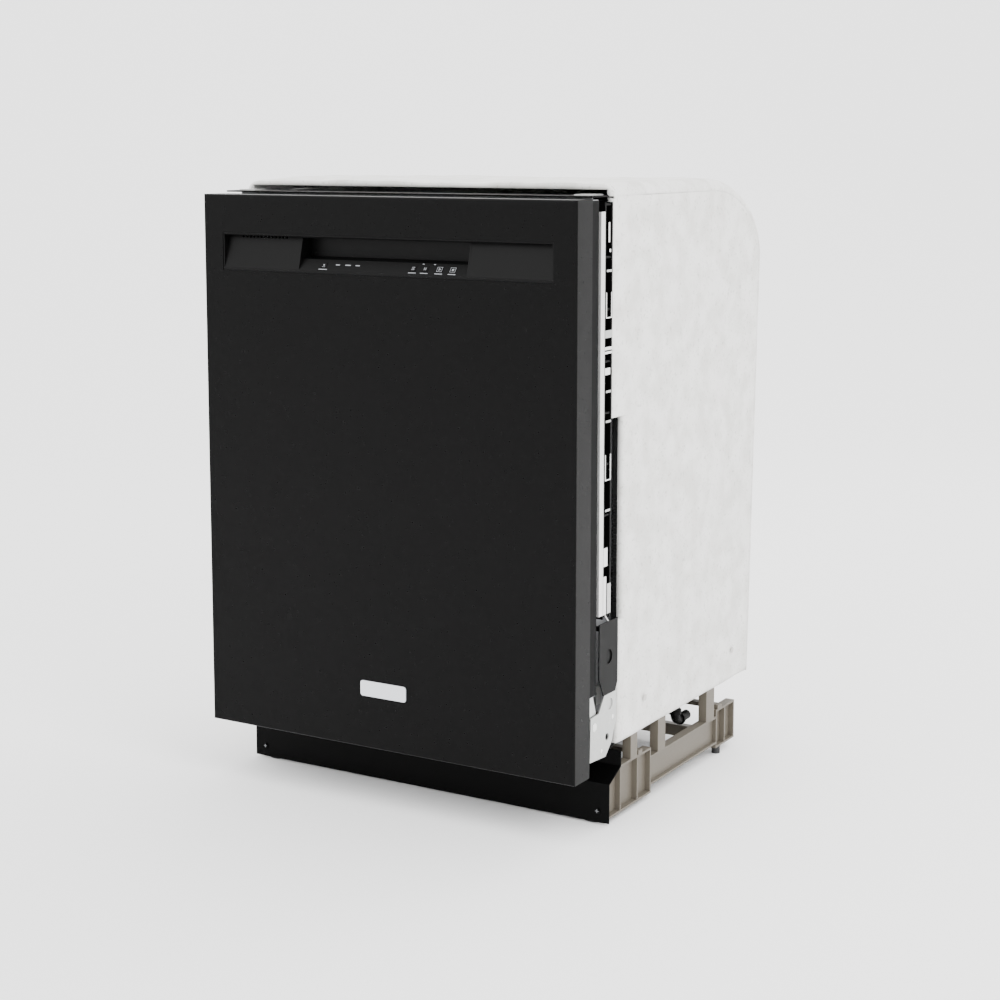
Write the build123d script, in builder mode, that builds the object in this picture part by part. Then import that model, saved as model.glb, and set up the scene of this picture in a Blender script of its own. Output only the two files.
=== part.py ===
"""Built-in dishwasher, 606 mm wide, made as separate named sub-parts.

Frame: +Z up, +X to the right seen from the front, -Y to the front. The origin is on the floor, at
the centre of the width and depth. All sizes are in mm. Distances behind the door's front face are
written with behind(), and most heights are measured from the floor.
"""

import math
import os

from build123d import *

os.makedirs("parts", exist_ok=True)

# ---- overall sizes
overall_width = 606.0
overall_depth = 606.0
overall_height = 879.0
badge_thick = 1.2
body_depth = overall_depth - badge_thick
half = overall_width / 2
front_y = badge_thick - overall_depth / 2
strip_top = overall_height - 19.0

# ---- door
door_bottom = 85.0
door_top = strip_top - 4.0
panel_sheet = 1.2
panel_return = 42.0
liner_back = 63.0
liner_wall = 2.0
liner_half = half - 3.0
liner_low_half = half - 19.0
liner_step = 193.0
pivot_back = 60.0
pivot_height = 150.0
pin_radius = 4.0
running_gap = 0.05

# ---- felt, hose and the gap between felt and tub that the hose runs in
blanket_thick = 10.0
blanket_half = half - 0.6
hose_radius = 8.0
hose_play = 1.4
side_gap = 2 * hose_radius + hose_play

# ---- tub
tub_half = blanket_half - blanket_thick - side_gap
tub_wall = 2.0
tub_front = 68.0
tub_back = body_depth - 40.0
tub_top = strip_top - 15.0
ledge_top = 159.5
basin_half = tub_half - 40.0
basin_front = 130.0
basin_bottom = 128.0
rear_round = 60.0
flange_half = tub_half + 13.0
tub_inner = tub_half - tub_wall
tub_inner_back = tub_back - tub_wall
tub_inner_top = tub_top - tub_wall

# ---- washing parts
sump_back = body_depth * 0.545
sump_radius = 85.0
sump_bottom = 62.0
post_radius = 13.0
filter_radius = 28.0
filter_x = 50.0
arm_reach = min(basin_half, sump_back - basin_front) - 22.0
lower_arm_height = 169.0
arm_thick = 11.0

# ---- racks
wire = 2.0
wire_gap = 0.06
rack_front = 92.0
rack_back = tub_inner_back - 22.0
rack_half = tub_inner - 30.0
lower_rack_floor = 198.0
lower_rack_top = 318.0
wheel_radius = 17.0
wheel_bore = 3.0
upper_rack_floor = strip_top * 0.61922
upper_rack_top = upper_rack_floor + 82.0
rail_height = upper_rack_floor + 34.0
rail_tall = 20.0

# ---- blanket, base, hose
blanket_front = 102.0
blanket_bottom = 110.0
blanket_round = 122.0
blanket_slope = 190.0
base_half = half - 3.0
base_wall = 14.0
kick_back = 100.0
kick_high_back = 134.0
kick_sheet = 1.2
hose_x = tub_half + hose_radius + 1.0
hose_back = 155.0
hose_return = 345.0
hose_bend = 80.0
leg_x = half - 31.0
leg_back = 118.0

# ---- console
console_half = half - 34.0
console_low = door_top - 107.0
console_high = door_top - 55.0
pocket_half = 137.0
button_wide = 9.0
button_tall = 8.0
button_gap = 0.4


def behind(distance):
    """Y of a point this far behind the door's front face."""
    return front_y + distance


def block(xs, backs, zs, mode=Mode.ADD):
    """Box between two X values, two distances behind the door's face and two heights."""
    corner = (min(xs), behind(min(backs)), min(zs))
    with Locations(corner):
        Box(abs(xs[1] - xs[0]), abs(backs[1] - backs[0]), abs(zs[1] - zs[0]),
            align=(Align.MIN, Align.MIN, Align.MIN), mode=mode)


def pair(x_low, x_high, backs, zs, mode=Mode.ADD):
    """The same box on the right and on the left."""
    for side in (1, -1):
        block((side * x_low, side * x_high), backs, zs, mode)


def rod(start, end, radius, mode=Mode.ADD):
    """Straight round rod from one point to another; points are (X, distance behind, Z)."""
    first = Vector(start[0], behind(start[1]), start[2])
    last = Vector(end[0], behind(end[1]), end[2])
    run = last - first
    with Locations(Plane(origin=first, z_dir=run)):
        Cylinder(radius, run.length, align=(Align.CENTER, Align.CENTER, Align.MIN), mode=mode)


def prism(points, x_low, x_high, mode=Mode.ADD):
    """Side profile of (distance behind, Z) points, drawn out along X."""
    with BuildSketch(Plane.YZ.offset(x_low)) as profile:
        with BuildLine():
            Polyline(*[(behind(r), z) for r, z in points], close=True)
        make_face()
    extrude(profile.sketch, amount=x_high - x_low, mode=mode)


def save(part, name):
    """Label the sub-part and write it as its own file."""
    part.label = name
    export_step(part, "parts/" + name + ".step")


# ======================================================================= tub and chassis

with BuildPart() as tub:
    block((-tub_half, tub_half), (tub_front, tub_back), (ledge_top - tub_wall, tub_top))
    rear_top = tub.edges().filter_by(Axis.X).group_by(Axis.Z)[-1].sort_by(Axis.Y)[-1]
    fillet(rear_top, rear_round)
    block((-basin_half, basin_half), (basin_front, tub_back - 14.0), (basin_bottom, ledge_top - 1.0))
    block((-flange_half, flange_half), (tub_front, tub_front + tub_wall),
          (ledge_top - tub_wall, door_top + 1.0))
    with BuildSketch(Plane.YZ.offset(-tub_inner)) as cavity:
        with BuildLine():
            low = ledge_top
            Polyline((behind(tub_inner_back), tub_inner_top - rear_round), (behind(tub_inner_back), low),
                     (behind(tub_front - 1.0), low), (behind(tub_front - 1.0), tub_inner_top),
                     (behind(tub_inner_back - rear_round), tub_inner_top))
            CenterArc((behind(tub_inner_back - rear_round), tub_inner_top - rear_round), rear_round, 0, 90)
        make_face()
    extrude(amount=2 * tub_inner, mode=Mode.SUBTRACT)
    block((-basin_half + tub_wall, basin_half - tub_wall), (basin_front + tub_wall, tub_back - 16.0),
          (basin_bottom + tub_wall, ledge_top + 1.0), Mode.SUBTRACT)
    with Locations((0, behind(sump_back), basin_bottom)):
        Cylinder(sump_radius + 0.3, 12.0, mode=Mode.SUBTRACT)
save(tub.part, "tub")

with BuildPart() as tub_gasket:
    pair(tub_half + 2.0, tub_half + 11.0, (liner_back + 0.6, tub_front), (ledge_top + 6.0, tub_top - 1.0))
    block((-tub_half - 11.0, tub_half + 11.0), (liner_back + 0.6, tub_front), (tub_top - 1.0, tub_top + 5.0))
save(tub_gasket.part, "tub_gasket")

strip_low = 300.0
strip_high = strip_top - 21.0
strip_depth = 11.0
with BuildPart() as face_strips:
    pair(flange_half + 0.3, half - 1.0, (tub_front, tub_front + 1.5), (strip_low, strip_high))
    pair(half - 2.5, half - 1.0, (tub_front, tub_front + strip_depth), (strip_low, strip_high))
save(face_strips.part, "face_strips")

frame_low = strip_low - 6.0
frame_high = strip_top - 9.0
frame_front = tub_front + strip_depth + 0.5
frame_back = blanket_front - 0.5
with BuildPart() as side_frames:
    pair(tub_half, tub_half + 3.0, (frame_front, frame_back), (frame_low, frame_high))
    pair(tub_half, half - 1.5, (frame_front, frame_front + 3.0), (frame_low, frame_high))
    pair(tub_half, half - 1.5, (frame_back - 3.0, frame_back), (frame_low, frame_high))
    for level in range(9):
        z = frame_low + 2.0 + level * (frame_high - frame_low - 6.0) / 8
        pair(tub_half, half - 2.5, (frame_front, frame_back), (z, z + 2.5))
save(side_frames.part, "side_frames")

trim_half = half - 3.0
with BuildPart() as top_trim_strip:
    with BuildSketch(Plane.XY.offset(strip_top - 2.0)):
        with Locations((0, behind(71.0))):
            Rectangle(2 * trim_half, 60.0)
    extrude(amount=2.0)
    corners = top_trim_strip.edges().filter_by(Axis.Z)
    fillet(corners, 12.0)
    block((-flange_half, flange_half), (tub_front + tub_wall, tub_front + tub_wall + 2.0),
          (tub_top + 1.0, strip_top - 1.0))
save(top_trim_strip.part, "top_trim_strip")

bracket_x = half - 27.0
bracket_hole = 2.3
with BuildPart() as counter_brackets:
    pair(bracket_x - 14.0, bracket_x + 14.0, (66.0, 96.0), (strip_top, strip_top + 1.5))
    with Locations((bracket_x, behind(81.0), strip_top + 0.75), (-bracket_x, behind(81.0), strip_top + 0.75)):
        Cylinder(bracket_hole, 4.0, mode=Mode.SUBTRACT)
save(counter_brackets.part, "counter_brackets")

with BuildPart() as latch_strike:
    block((-7.0, 7.0), (50.0, tub_front), (tub_top + 6.5, tub_top + 8.5))
save(latch_strike.part, "latch_strike")

with BuildPart() as insulation_blanket:
    top = overall_height
    back = body_depth
    centre = (behind(back - blanket_slope), top - 0.5 - blanket_round)
    for inner in (False, True):
        shrink = blanket_thick if inner else 0.0
        low = blanket_bottom - 1.0 if inner else blanket_bottom
        front = blanket_front - 1.0 if inner else blanket_front
        wide = blanket_half - shrink
        with BuildSketch(Plane.YZ.offset(-wide)):
            with BuildLine():
                Polyline((behind(back - shrink), centre[1]), (behind(back - 24.0 - shrink), low),
                         (behind(front), low), (behind(front), top - 2.0 - shrink),
                         (behind(front + 100.0), top - shrink), (centre[0], top - 0.5 - shrink))
                EllipticalCenterArc(centre, blanket_slope - shrink, blanket_round - shrink, start_angle=0, arc_size=90)
            make_face()
        extrude(amount=2 * wide, mode=Mode.SUBTRACT if inner else Mode.ADD)
        if not inner:
            shoulder = insulation_blanket.edges().filter_by(
                lambda e: abs(abs(e.center().X) - blanket_half) < 0.1
                and e.center().Z > blanket_bottom + 1.0
                and e.center().Y > behind(blanket_front + 1.0))
            fillet(shoulder, 20.0)
    window = (284.0, 564.0)
    pair(blanket_half - blanket_thick - 1.0, half + 1.0, (blanket_front - 2.0, 127.0), (0.0, 228.0),
         Mode.SUBTRACT)
    pair(blanket_half - blanket_thick - 1.0, half + 1.0, (blanket_front - 2.0, 127.0), (227.0, window[0]),
         Mode.SUBTRACT)
    pair(blanket_half - blanket_thick - 1.0, half + 1.0, (blanket_front - 2.0, 137.0), window, Mode.SUBTRACT)
save(insulation_blanket.part, "insulation_blanket")

with BuildPart() as blanket_clips:
    for side in (1, -1):
        for back in (208.0, body_depth - 98.0):
            rod((side * blanket_half, back, 155.0), (side * half, back, 155.0), 4.5)
save(blanket_clips.part, "blanket_clips")

# ---- base frame: ladder of rails and beams, with blocks and posts
rail_low = 19.0
rail_high = 62.0
block_front = kick_back + 4.0
block_back = 234.0
block_step = kick_high_back + 4.0
stud_radius = 5.0
rear_block = (body_depth - 148.0, body_depth - 81.0)
rail_in = base_half - base_wall
elbow_clear = 75.8
post_back = max(rear_block[0] - 36.0, hose_return + elbow_clear)
with BuildPart() as base_frame:
    for side in (1, -1):
        xs = (side * rail_in, side * base_half)
        block((side * (rail_in + 5.0), side * (rail_in + 8.0)), (block_back + wire_gap, rear_block[0] - wire_gap),
              (rail_low, rail_high))
        block(xs, (block_back + wire_gap, rear_block[0] - wire_gap), (rail_low, rail_low + 3.0))
        block(xs, (block_back + wire_gap, rear_block[0] - wire_gap), (rail_high - 3.0, rail_high))
    for backs in ((206.0, 218.0), (rear_block[0] + 20.0, rear_block[0] + 32.0)):
        block((-rail_in + wire_gap, rail_in - wire_gap), backs, (14.0, 32.0))
save(base_frame.part, "base_frame")

with BuildPart() as base_supports:
    for side in (1, -1):
        xs = (side * rail_in, side * base_half)
        web = (side * (rail_in + 3.0), side * (rail_in + 6.0))
        web_xs = sorted(web)
        prism([(block_front, 8.0), (block_front, 54.0), (block_step, 70.0), (block_step, 75.0), (block_back, 75.0),
               (block_back, 8.0)], web_xs[0], web_xs[1])
        block(xs, (block_front, block_back), (8.0, 11.0))
        block(xs, (block_step, block_back), (72.0, 75.0))
        block(xs, (block_front, block_front + 3.0), (8.0, 54.0))
        for back in (block_step, 190.0, block_back - 3.0):
            block(xs, (back, back + 3.0), (8.0, 75.0))
        block((side * (leg_x - 10.0), side * (rail_in + 3.0)), (leg_back - 10.0, leg_back + 10.0), (20.0, 40.0))
        rod((side * leg_x, leg_back, 18.0), (side * leg_x, leg_back, 42.0), stud_radius + running_gap, Mode.SUBTRACT)
        block(web, rear_block, (12.0, 72.0))
        block(xs, rear_block, (12.0, 15.0))
        block(xs, rear_block, (69.0, 72.0))
        for back in (rear_block[0], rear_block[0] + 30.0, rear_block[1] - 3.0):
            block(xs, (back, back + 3.0), (12.0, 72.0))
    for side in (1, -1):
        post = (side * (rail_in + 1.0), side * base_half)
        ledge = ledge_top - tub_wall
        for backs, low in (((170.0, 190.0), 75.0 + wire_gap), ((256.0, 280.0), rail_high + wire_gap),
                           ((post_back, post_back + 28.0), rail_high + wire_gap)):
            block(post, backs, (low, blanket_bottom - 0.5))
        for backs, low in (((194.0, 206.0), 75.0 + wire_gap), ((rear_block[0] + 6.0, rear_block[0] + 20.0), 72.0)):
            block((side * (basin_half + 6.0), side * (basin_half + 18.0)), backs, (low, ledge))
            block((side * (basin_half + 6.0), side * base_half), backs, (low, low + 6.0))
save(base_supports.part, "base_supports")

with BuildPart() as rear_feet:
    for side in (1, -1):
        x = side * (rail_in + base_wall / 2)
        rod((x, rear_block[0] + 16.0, 0), (x, rear_block[0] + 16.0, 12.0), 6.5)
save(rear_feet.part, "rear_feet")

foot_radius = 15.0


def front_leg(side):
    """Levelling leg: a round foot with a hexagon and a stud up into its block."""
    x = side * leg_x
    rod((x, leg_back, 0), (x, leg_back, 5.0), foot_radius)
    with BuildSketch(Plane.XY.offset(5.0)) as nut:
        with Locations((x, behind(leg_back))):
            RegularPolygon(9.0, 6)
    extrude(nut.sketch, amount=7.0)
    rod((x, leg_back, 12.0), (x, leg_back, 64.0), stud_radius)


with BuildPart() as right_front_leg:
    front_leg(1)
save(right_front_leg.part, "right_front_leg")

with BuildPart() as left_front_leg:
    front_leg(-1)
save(left_front_leg.part, "left_front_leg")

with BuildPart() as toe_panel:
    kick_low = 3.0
    kick_high = 98.0
    outer = [(kick_back, kick_low), (kick_back, 59.0), (kick_high_back, 76.0), (kick_high_back, kick_high)]
    inner = [(kick_high_back + kick_sheet, kick_high), (kick_high_back + kick_sheet, 75.2),
             (kick_back + kick_sheet, 58.2), (kick_back + kick_sheet, kick_low)]
    prism(outer + inner, -half, half)
save(toe_panel.part, "toe_panel")

with BuildPart() as toe_screws:
    for side in (1, -1):
        x = side * (half - 18.0)
        rod((x, kick_back - 1.6, 19.0), (x, kick_back, 19.0), 4.2)
save(toe_screws.part, "toe_screws")

# ---- hinges
plate_x = half - 4.0
arm_x = half - 8.0
plate_outline = [(49.0, 164.0), (47.0, 104.0), (92.0, 101.0), (110.0, 118.0), (119.0, 139.0), (122.0, 142.0),
                 (122.0, 206.0), (100.0, 206.0), (84.0, 182.0), (72.0, 166.0)]
with BuildPart() as hinge_plates:
    for side in (1, -1):
        xs = sorted((side * plate_x, side * (plate_x + 2.0)))
        prism(plate_outline, xs[0], xs[1])
        rod((side * (plate_x + 0.5), 104.0, 172.0), (side * (plate_x + 3.0), 104.0, 172.0), 8.0, Mode.SUBTRACT)
        rod((side * (plate_x - 1.0), 96.0, 128.0), (side * (plate_x + 3.0), 96.0, 128.0), 5.0, Mode.SUBTRACT)
        rod((side * (plate_x - 6.0), pivot_back, pivot_height), (side * plate_x, pivot_back, pivot_height), pin_radius)
        block((side * tub_half, side * plate_x), (108.0, 120.0), (190.0, 193.0))
        block((side * tub_half, side * (tub_half + 3.0)), (108.0, 120.0), (165.0, 193.0))
save(hinge_plates.part, "hinge_plates")

with BuildPart() as hinge_covers:
    cover_outline = [(69.0, 289.0), (69.0, 214.0), (82.0, 188.0), (116.0, 188.0), (122.4, 200.0), (122.4, 289.0)]
    for side in (1, -1):
        xs = sorted((side * (plate_x + 2.1), side * (half - 0.2)))
        prism(cover_outline, xs[0], xs[1])
        block((side * tub_half, side * (plate_x + 2.1)), (104.0, 110.0), (270.0, 276.0))
        rod((side * (plate_x + 2.2), 96.0, 240.0), (side * half, 96.0, 240.0), 10.0, Mode.SUBTRACT)
save(hinge_covers.part, "hinge_covers")

spring_radius = 6.0
spring_wire = 1.1
spring_x = basin_half + 26.0
spring_turns = 22
with BuildPart() as door_springs:
    for side in (1, -1):
        with BuildLine() as coil:
            Helix(pitch=4.0, height=4.0 * spring_turns, radius=spring_radius,
                  center=(side * spring_x, behind(244.0), 92.0), direction=(0, 1, 0))
        with BuildSketch(Plane(origin=coil.line @ 0, z_dir=coil.line % 0)) as coil_section:
            Circle(spring_wire)
        sweep(coil_section.sketch, path=coil.line)
save(door_springs.part, "door_springs")

# ---- drain hose, one run along the right side
hose_top = strip_top * 0.8121
hose_low = 60.0
pump_out = 132.0
with BuildPart() as drain_hose:
    with BuildLine() as hose_run:
        FilletPolyline((pump_out, behind(hose_back), hose_low), (hose_x, behind(hose_back), hose_low),
                       (hose_x, behind(hose_back), hose_top), (hose_x, behind(hose_return), hose_top),
                       (hose_x, behind(hose_return), 100.0), radius=hose_bend)
    with BuildSketch(Plane(origin=hose_run.line @ 0, z_dir=hose_run.line % 0)):
        Circle(hose_radius)
    sweep(path=hose_run.line)
save(drain_hose.part, "drain_hose")

elbow_radius = 7.0
elbow_out = 40.0
with BuildPart() as drain_elbow:
    with BuildLine() as elbow_run:
        FilletPolyline((hose_x, behind(hose_return), 100.0), (hose_x, behind(hose_return), 82.0),
                       (hose_x, behind(hose_return + elbow_out), 82.0), radius=12.0)
    with BuildSketch(Plane(origin=elbow_run.line @ 0, z_dir=elbow_run.line % 0)):
        Circle(elbow_radius)
    sweep(path=elbow_run.line)
    rod((hose_x, hose_return, 93.0), (hose_x, hose_return, 100.0), 9.5)
    rod((hose_x, hose_return + 14.0, 82.0), (hose_x, hose_return + 18.0, 82.0), 9.5)
    rod((hose_x, hose_return + 20.0, 82.0), (hose_x, hose_return + elbow_out + 1.0, 82.0), 4.8, Mode.SUBTRACT)
save(drain_elbow.part, "drain_elbow")

# ======================================================================= washing parts

with BuildPart() as sump:
    rod((0, sump_back, sump_bottom), (0, sump_back, basin_bottom + 4.0), sump_radius)
    rod((0, sump_back, sump_bottom + 2.5), (0, sump_back, basin_bottom + 5.0), sump_radius - 2.5, Mode.SUBTRACT)
    rod((0, sump_back, basin_bottom - 2.5), (0, sump_back, basin_bottom), sump_radius + 6.0)
    rod((0, sump_back, basin_bottom - 3.0), (0, sump_back, basin_bottom + 1.0), sump_radius - 2.5, Mode.SUBTRACT)
    rod((0, sump_back, sump_bottom), (0, sump_back, lower_arm_height - 0.8), post_radius)
    rod((0, sump_back, lower_arm_height - 1.0), (0, sump_back, lower_arm_height + arm_thick + 1.0), 6.0)
save(sump.part, "sump")

plate_z = basin_bottom + 4.0
with BuildPart() as filter_plate:
    rod((0, sump_back, plate_z), (0, sump_back, plate_z + 1.5), sump_radius - 0.5)
    rod((0, sump_back, plate_z - 1.0), (0, sump_back, plate_z + 3.0), post_radius + 0.4, Mode.SUBTRACT)
    rod((filter_x, sump_back, plate_z - 1.0), (filter_x, sump_back, plate_z + 3.0), filter_radius + 0.5,
        Mode.SUBTRACT)
save(filter_plate.part, "filter_plate")

with BuildPart() as filter_cup:
    rod((filter_x, sump_back, 70.0), (filter_x, sump_back, 142.0), filter_radius)
    rod((filter_x, sump_back, 73.0), (filter_x, sump_back, 143.0), filter_radius - 2.5, Mode.SUBTRACT)
    block((filter_x - filter_radius + 1.0, filter_x + filter_radius - 1.0), (sump_back - 3.0, sump_back + 3.0),
          (134.0, 154.0))
save(filter_cup.part, "filter_cup")


def spray_arm(reach, centre_back, height, width, bore):
    """Two-bladed spray arm with tapering ends, a hub and a centre bore."""
    with BuildSketch(Plane.XY.offset(height)) as blade:
        with BuildLine():
            Polyline((-reach, behind(centre_back) - width * 0.28), (0, behind(centre_back) - width * 0.5),
                     (reach, behind(centre_back) - width * 0.28), (reach, behind(centre_back) + width * 0.28),
                     (0, behind(centre_back) + width * 0.5), (-reach, behind(centre_back) + width * 0.28),
                     close=True)
        make_face()
    extrude(blade.sketch, amount=arm_thick)
    rod((0, centre_back, height), (0, centre_back, height + arm_thick), width * 0.62)
    rod((0, centre_back, height - 1.0), (0, centre_back, height + arm_thick + 1.0), bore, Mode.SUBTRACT)
    for side in (1, -1):
        for step in range(5):
            x = side * reach * (0.3 + 0.15 * step)
            block((x - 1.2, x + 1.2), (centre_back - 5.0, centre_back + 5.0),
                  (height + arm_thick - 2.0, height + arm_thick + 1.0), Mode.SUBTRACT)


with BuildPart() as lower_spray_arm:
    spray_arm(arm_reach, sump_back, lower_arm_height, 46.0, 6.0 + running_gap)
save(lower_spray_arm.part, "lower_spray_arm")

heater_radius = min(basin_half, sump_back - basin_front) - 40.0
with BuildPart() as heating_element:
    with BuildLine() as heater_run:
        CenterArc((0, behind(sump_back), 146.0), heater_radius, 100, 340)
    with BuildSketch(Plane(origin=heater_run.line @ 0, z_dir=heater_run.line % 0)):
        Circle(4.0)
    sweep(path=heater_run.line)
    for turn in (0, 120, 240):
        x = heater_radius * math.cos(math.radians(turn - 30))
        y = heater_radius * math.sin(math.radians(turn - 30))
        with Locations((x, behind(sump_back) + y, basin_bottom + tub_wall)):
            Cylinder(3.0, 14.0, align=(Align.CENTER, Align.CENTER, Align.MIN))
save(heating_element.part, "heating_element")

duct_back = tub_inner_back
with BuildPart() as feed_tube:
    block((-16.0, 16.0), (duct_back - 13.0, duct_back), (ledge_top, upper_rack_floor - 6.0))
    rod((0, duct_back - 19.0, upper_rack_floor - 20.0), (0, duct_back - 1.0, upper_rack_floor - 20.0), 10.0)
save(feed_tube.part, "feed_tube")

pump_x = -150.0
pump_radius = 38.0
pump_z = 72.0
with BuildPart() as wash_pump:
    rod((pump_x, sump_back - 70.0, pump_z), (pump_x, sump_back + 60.0, pump_z), pump_radius)
    rod((pump_x, sump_back + 22.0, pump_z), (pump_x, sump_back + 56.0, pump_z), pump_radius - 4.0, Mode.SUBTRACT)
    rod((pump_x, sump_back + 55.0, pump_z), (pump_x, sump_back + 61.0, pump_z), 12.0, Mode.SUBTRACT)
    rod((pump_x, sump_back - 40.0, pump_z), (pump_x, sump_back + 23.0, pump_z), 4.0 + running_gap, Mode.SUBTRACT)
    block((-sump_radius + 2.0, pump_x + pump_radius - 4.0), (sump_back - 9.0, sump_back + 9.0), (pump_z, pump_z + 16.0))
    rod((0, sump_back, pump_z - 1.0), (0, sump_back, pump_z + 20.0), sump_radius + 0.02, Mode.SUBTRACT)
save(wash_pump.part, "wash_pump")

with BuildPart() as pump_impeller:
    rod((pump_x, sump_back - 38.0, pump_z), (pump_x, sump_back + 26.0, pump_z), 4.0)
    rod((pump_x, sump_back + 26.0, pump_z), (pump_x, sump_back + 30.0, pump_z), 30.0)
    for blade in range(6):
        turn = 60.0 * blade
        with Locations(Location((pump_x, behind(sump_back + 36.0), pump_z), (0, turn, 0))):
            with Locations((16.0, 0, 0)):
                Box(24.0, 12.0, 2.5)
save(pump_impeller.part, "pump_impeller")

with BuildPart() as drain_pump:
    rod((pump_out - 68.0, hose_back, hose_low), (pump_out - 14.0, hose_back, hose_low), 24.0)
    rod((pump_out - 14.0, hose_back, hose_low), (pump_out, hose_back, hose_low), 10.0)
    block((pump_out - 60.0, pump_out - 20.0), (hose_back + 20.0, 206.0), (18.0, 30.0))
    block((pump_out - 60.0, pump_out - 20.0), (hose_back - 10.0, hose_back + 24.0), (18.0, 44.0))
save(drain_pump.part, "drain_pump")

valve_x = -basin_half
valve_back = 250.0
inlet_radius = 13.2
with BuildPart() as inlet_valve:
    block((valve_x - 20.0, valve_x + 20.0), (218.0, valve_back + 40.0), (14.0, 62.0))
    rod((valve_x, valve_back + 40.0, 36.0), (valve_x, valve_back + 56.0, 36.0), inlet_radius)
    rod((valve_x, valve_back + 42.0, 36.0), (valve_x, valve_back + 57.0, 36.0), 9.0, Mode.SUBTRACT)
    rod((valve_x, valve_back, 62.0), (valve_x, valve_back, 84.0), 12.0)
save(inlet_valve.part, "inlet_valve")

conduit_radius = 11.1
box_x = basin_half - 55.0
with BuildPart() as junction_box:
    block((box_x - 34.0, box_x + 34.0), (218.0, 290.0), (14.0, 66.0))
    block((box_x - 32.5, box_x + 32.5), (219.5, 288.5), (15.5, 64.5), Mode.SUBTRACT)
    rod((box_x, 285.0, 40.0), (box_x, 292.0, 40.0), conduit_radius, Mode.SUBTRACT)
save(junction_box.part, "junction_box")

float_x = -basin_half + 32.0
float_back = basin_front + 34.0
with BuildPart() as overfill_float:
    rod((float_x, float_back, basin_bottom + tub_wall + 0.2), (float_x, float_back, 166.0), 18.0)
    rod((float_x, float_back, basin_bottom + tub_wall), (float_x, float_back, 158.0), 14.0, Mode.SUBTRACT)
    dome = overfill_float.edges().filter_by(GeomType.CIRCLE).sort_by(Axis.Z)[-1]
    fillet(dome, 5.0)
save(overfill_float.part, "overfill_float")

# ======================================================================= racks


def spread(low, high, count):
    """Evenly spread values from low to high."""
    return [low + (high - low) * i / (count - 1) for i in range(count)]


def wire_basket(wide, front, back, floor, top, along, across):
    """Open basket of straight wires: floor wires, cross wires, uprights and two rims."""
    step = 2 * wire + wire_gap
    for x in spread(-wide + 26.0, wide - 26.0, along):
        rod((x, front + step, floor), (x, back - step, floor), wire)
        for y in (front + wire, back - wire):
            rod((x, y, floor - wire), (x, y, top - wire - wire_gap), wire)
    for y in spread(front + 30.0, back - 30.0, across):
        rod((-wide + step, y, floor - step), (wide - step, y, floor - step), wire)
        for side in (1, -1):
            rod((side * (wide - wire), y, floor - step - wire), (side * (wide - wire), y, top - wire - wire_gap), wire)
    for side in (1, -1):
        rod((side * (wide - wire), front - wire, top), (side * (wide - wire), back + wire, top), wire)
    for y in (front + wire, back - wire):
        rod((-wide + step, y, top), (wide - step, y, top), wire)


with BuildPart() as lower_rack:
    wire_basket(rack_half, rack_front, rack_back, lower_rack_floor, lower_rack_top, 9, 6)
    for x in spread(-rack_half + 26.0, rack_half - 26.0, 9)[1:5]:
        for y in spread(rack_front + 60.0, rack_back - 60.0, 6):
            rod((x, y, lower_rack_floor + wire + wire_gap), (x, y, lower_rack_floor + 62.0), 1.6)
save(lower_rack.part, "lower_rack")

wheel_centre = ledge_top + wheel_radius + 0.3
front_axle = 178.0
rear_axle = rack_back - 50.0
wheel_in = rack_half + 7.0
wheel_out = wheel_in + 9.0
with BuildPart() as wheel_brackets:
    for side in (1, -1):
        for back in (front_axle, rear_axle):
            block((side * (rack_half + 0.1), side * (rack_half + 4.0)), (back - 16.0, back + 16.0),
                  (wheel_centre - 8.0, lower_rack_floor + 30.0))
            rod((side * (rack_half + 4.0), back, wheel_centre), (side * (wheel_out + 2.0), back, wheel_centre), wheel_bore)
            rod((side * (wheel_out + 0.8), back, wheel_centre), (side * (wheel_out + 3.0), back, wheel_centre), 5.0)
save(wheel_brackets.part, "wheel_brackets")


def wheel_pair(back):
    """Left and right wheel that turn on one axle line."""
    for side in (1, -1):
        rod((side * wheel_in, back, wheel_centre), (side * wheel_out, back, wheel_centre), wheel_radius)
        rod((side * (wheel_in - 1.0), back, wheel_centre), (side * (wheel_out + 1.0), back, wheel_centre),
            wheel_bore + running_gap, Mode.SUBTRACT)


with BuildPart() as front_wheels:
    wheel_pair(front_axle)
save(front_wheels.part, "front_wheels")

with BuildPart() as rear_wheels:
    wheel_pair(rear_axle)
save(rear_wheels.part, "rear_wheels")

basket_low = lower_rack_floor + wire + 0.4
basket_high = basket_low + 112.0
basket_x = (rack_half - 92.0, rack_half - 14.0)
basket_back = (rack_front + 60.0, rack_back - 60.0)
basket_wall = 2.0
with BuildPart() as silverware_basket:
    block(basket_x, basket_back, (basket_low, basket_low + basket_wall))
    for x in (basket_x[0], basket_x[1] - basket_wall):
        block((x, x + basket_wall), basket_back, (basket_low, basket_high))
    for y in spread(basket_back[0], basket_back[1] - basket_wall, 5):
        block(basket_x, (y, y + basket_wall), (basket_low, basket_high))
    for y in spread(basket_back[0] + 12.0, basket_back[1] - 12.0, 15):
        block((basket_x[0] - 1.0, basket_x[1] + 1.0), (y - 5.0, y + 5.0), (basket_low + 14.0, basket_high - 22.0),
              Mode.SUBTRACT)
save(silverware_basket.part, "silverware_basket")

rail_front = 84.0
rail_back = tub_inner_back - 20.0
rail_low_z = rail_height - rail_tall / 2
rail_high_z = rail_height + rail_tall / 2
with BuildPart() as upper_rails:
    for side in (1, -1):
        block((side * (tub_inner - 1.5), side * tub_inner), (rail_front, rail_back), (rail_low_z, rail_high_z))
        for z in (rail_low_z, rail_high_z - 1.5):
            block((side * (tub_inner - 10.0), side * tub_inner), (rail_front, rail_back), (z, z + 1.5))
save(upper_rails.part, "upper_rails")

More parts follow.
